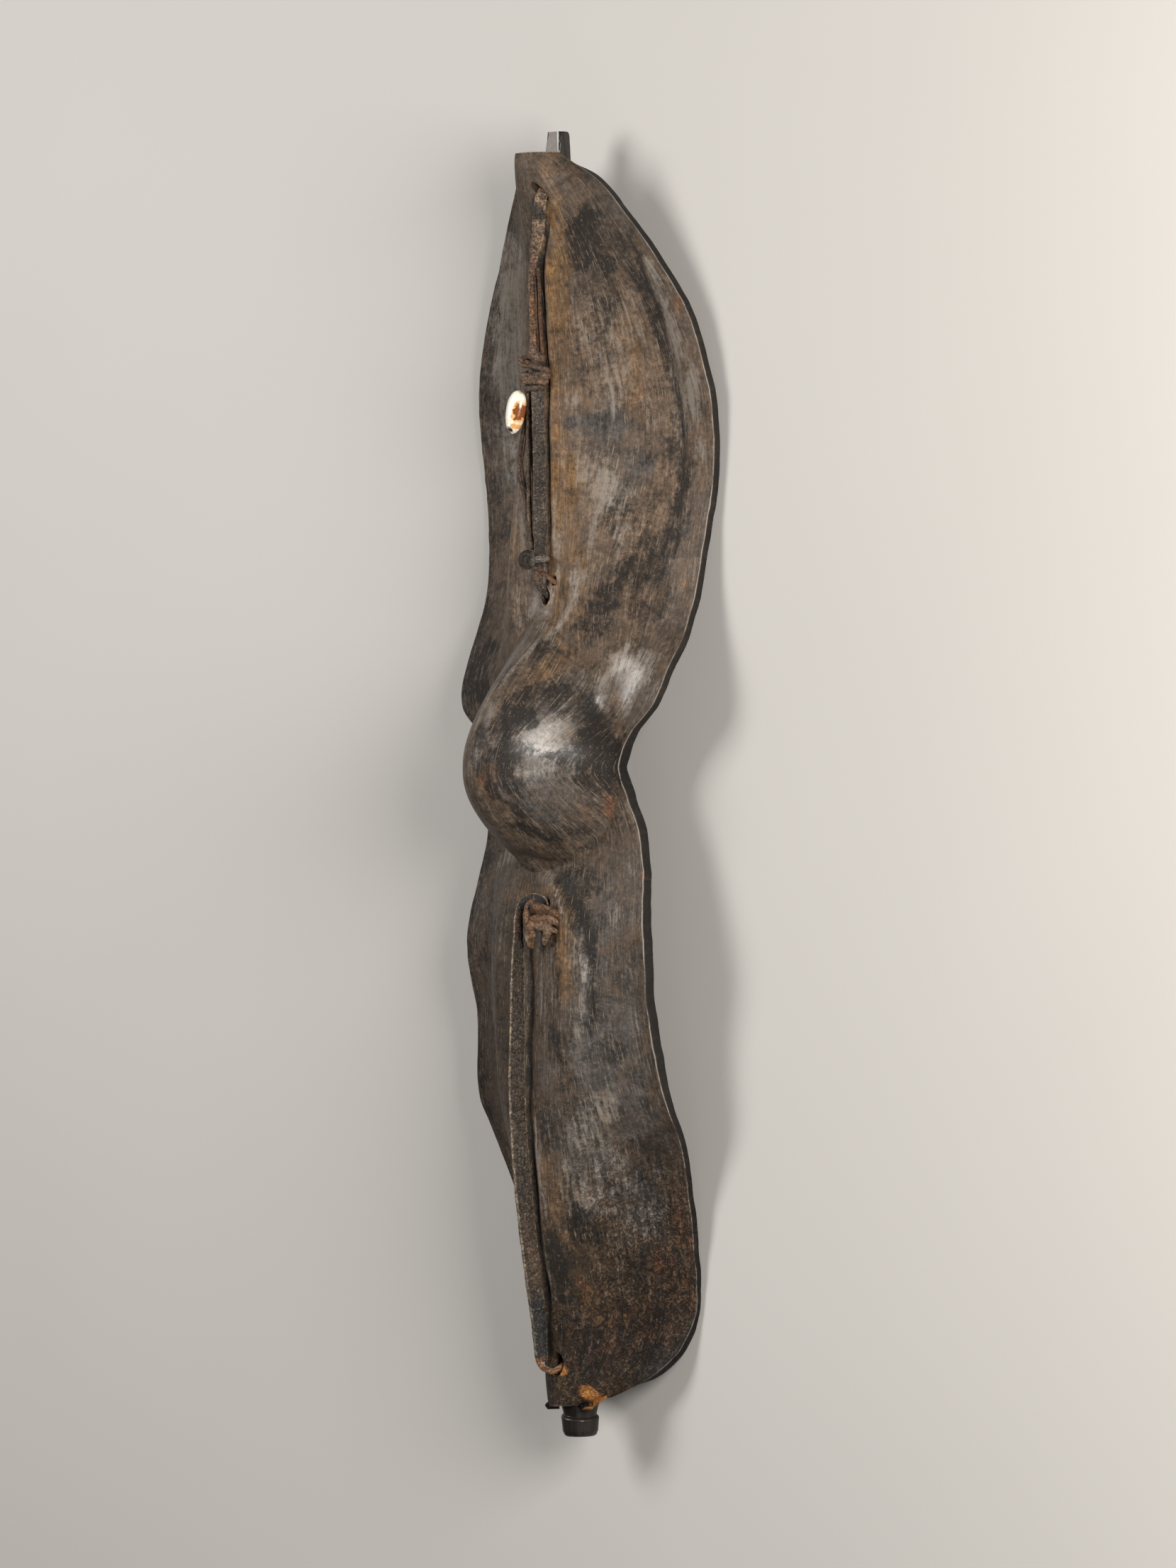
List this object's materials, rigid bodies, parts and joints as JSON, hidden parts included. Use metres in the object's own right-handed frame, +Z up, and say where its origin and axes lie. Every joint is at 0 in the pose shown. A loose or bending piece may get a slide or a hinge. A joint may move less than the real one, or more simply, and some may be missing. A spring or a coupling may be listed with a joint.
{
  "type": "hide shield",
  "caption": "Waisted shield of thick moulded rawhide with a domed boss, laced to a long wooden stave behind it, with front straps, knots and a shell.",
  "frame": {"origin": "bottom centre of the whole shield as it lies on its back", "axes": "+Y along the shield towards the forked stave end, +Z up out of the outer face, +X to the right of someone facing the outer face"},
  "size_m": [0.2614, 0.94, 0.1304],
  "materials": {
    "rawhide": "satin, mottled charcoal, grey and brown",
    "dark_wood": "polished by handling",
    "strap_leather": "dry rawhide strap",
    "thong_leather": "dry twisted thong",
    "shell": "glossy porcelain-like shell"
  },
  "bodies": {
    "root": {"hide": "rawhide", "stave": "dark_wood", "upper_strap": "strap_leather", "lower_strap": "strap_leather", "upper_thong_left": "thong_leather", "upper_thong_right": "thong_leather", "upper_knot": "thong_leather", "side_thong": "thong_leather", "lower_binding": "thong_leather", "lower_knot": "thong_leather", "cowrie": "shell", "cowrie_thong": "thong_leather"}
  },
  "joints": []
}
